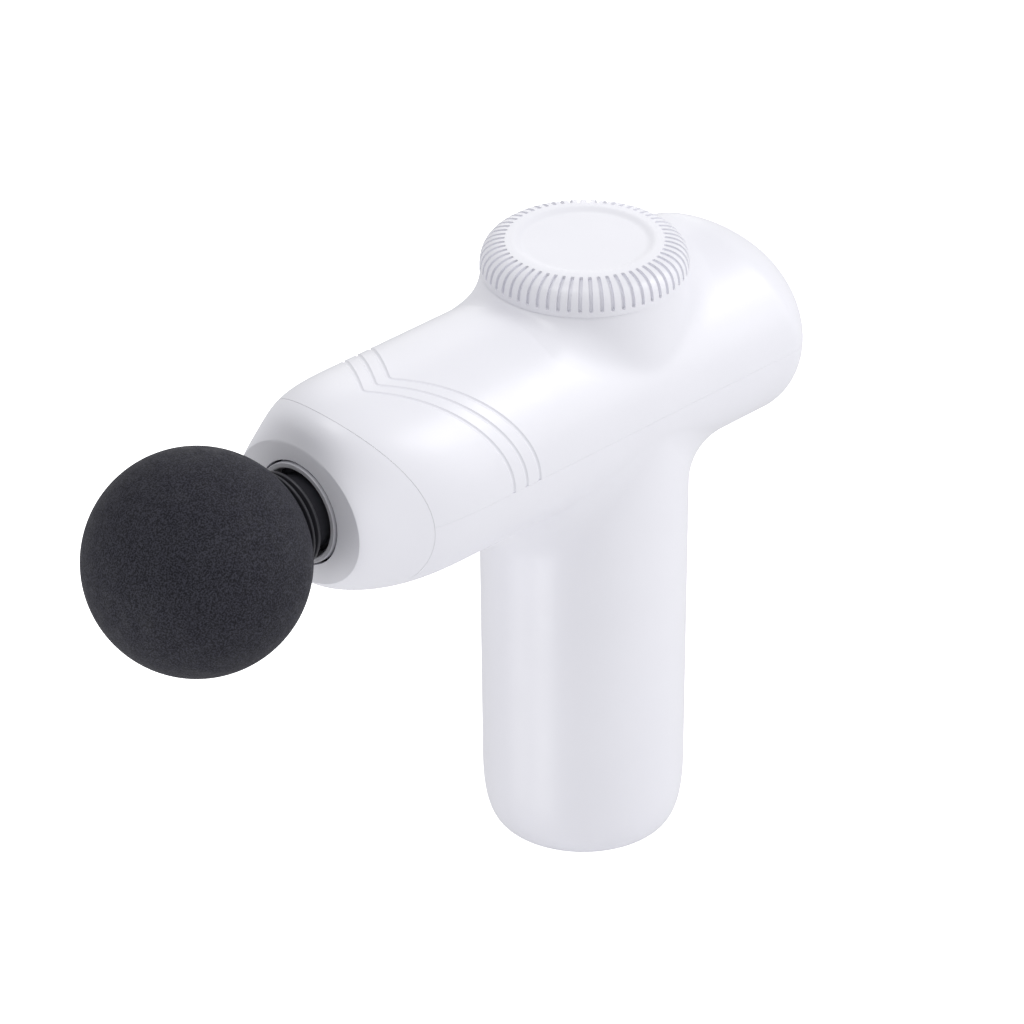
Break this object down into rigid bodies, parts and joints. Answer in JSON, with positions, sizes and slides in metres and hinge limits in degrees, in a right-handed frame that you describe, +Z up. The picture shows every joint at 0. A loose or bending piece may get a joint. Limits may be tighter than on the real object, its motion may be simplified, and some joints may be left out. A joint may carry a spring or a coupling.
{
  "type": "massage gun",
  "caption": "Cordless percussive massage gun: round barrel over an upright handle, ribbed speed dial on top, foam ball head on a sliding sleeve.",
  "frame": {"origin": "centre of the handle's flat base, on the axis that the handle and the dial share", "axes": "+Z up the handle towards the dial; -X along the barrel towards the ball head; the handle stands on the plane Z = 0"},
  "size_m": [0.1983, 0.05, 0.1476],
  "materials": {
    "shell_white": "satin-gloss white ABS",
    "nose_white": "satin-gloss white ABS",
    "dial_white": "satin-gloss white ABS, fine texture in the dish",
    "inner_white": "moulded white plastic",
    "foam": null,
    "stem_plastic": "charcoal nylon",
    "rubber": "black rubber",
    "sleeve_aluminium": "anodised light grey",
    "aluminium": "machined",
    "steel": "ground",
    "copper": "wound copper on laminations",
    "magnet": "nickel-plated magnet ring",
    "brass": "bushing bronze",
    "nylon": "glass-filled nylon",
    "board": "circuit board with solder mask",
    "black_plastic": "black moulding",
    "cell_wrap": null
  },
  "bodies": {
    "housing": {"upper_housing": "shell_white", "lower_housing": "shell_white", "nose_cap": "nose_white", "battery_board": "board", "battery_cell_1": "cell_wrap", "battery_cell_2": "cell_wrap", "battery_cell_3": "cell_wrap", "battery_holder_lower": "nylon", "battery_holder_upper": "nylon", "board_post_1": "inner_white", "board_post_2": "inner_white", "board_post_3": "inner_white", "board_screw_1": "steel", "board_screw_2": "steel", "board_screw_3": "steel", "charge_board": "board", "charge_port": "steel", "charge_tongue": "black_plastic", "control_board": "board", "cylinder_liner": "nylon", "dial_board": "board", "drive_chip": "black_plastic", "encoder_body": "aluminium", "motor_base": "aluminium", "motor_bearing_lower": "steel", "motor_bearing_upper": "steel", "motor_cradle": "nylon", "motor_damper": "rubber", "motor_screw_1": "steel", "motor_screw_2": "steel", "motor_screw_3": "steel", "motor_screw_4": "steel", "motor_stator": "copper", "power_capacitor": "black_plastic", "wiper_ring": "rubber"},
    "dial": {"dial_knob": "dial_white", "dial_hub": "nylon", "dial_shaft": "steel"},
    "crank": {"crank_wheel": "steel", "crank_pin": "steel", "motor_shaft": "steel", "motor_rotor": "steel", "magnet_ring": "magnet"},
    "rod": {"connecting_rod": "aluminium", "crank_bearing": "steel", "wrist_bushing": "brass", "wrist_pin": "steel"},
    "piston": {"piston_sleeve": "sleeve_aluminium"},
    "head": {"foam_ball": "foam", "ball_stem": "stem_plastic", "stem_ring_front": "rubber", "stem_ring_rear": "rubber"}
  },
  "joints": [
    {"name": "dial_turn", "type": "hinge", "parent": "housing", "child": "dial", "pos_m": [0, 0, 0.1405], "axis": [0, 0, -1], "range_deg": [0, 270]},
    {"name": "crank_spin", "type": "hinge", "parent": "housing", "child": "crank", "pos_m": [0, 0, 0.1065], "axis": [0, 0, 1], "continuous": true},
    {"name": "rod_pivot", "type": "hinge", "parent": "crank", "child": "rod", "pos_m": [0.004, 0, 0.1145], "axis": [0, 0, 1], "continuous": true},
    {"name": "piston_slide", "type": "slide", "parent": "housing", "child": "piston", "axis": [-1, 0, 0], "range_m": [0, 0.008]},
    {"name": "head_pull", "type": "slide", "parent": "piston", "child": "head", "axis": [-1, 0, 0], "range_m": [0, 0.024]}
  ],
  "couplings": [
    {"joint": "rod_pivot", "follows": "crank_spin", "ratio": -1}
  ]
}
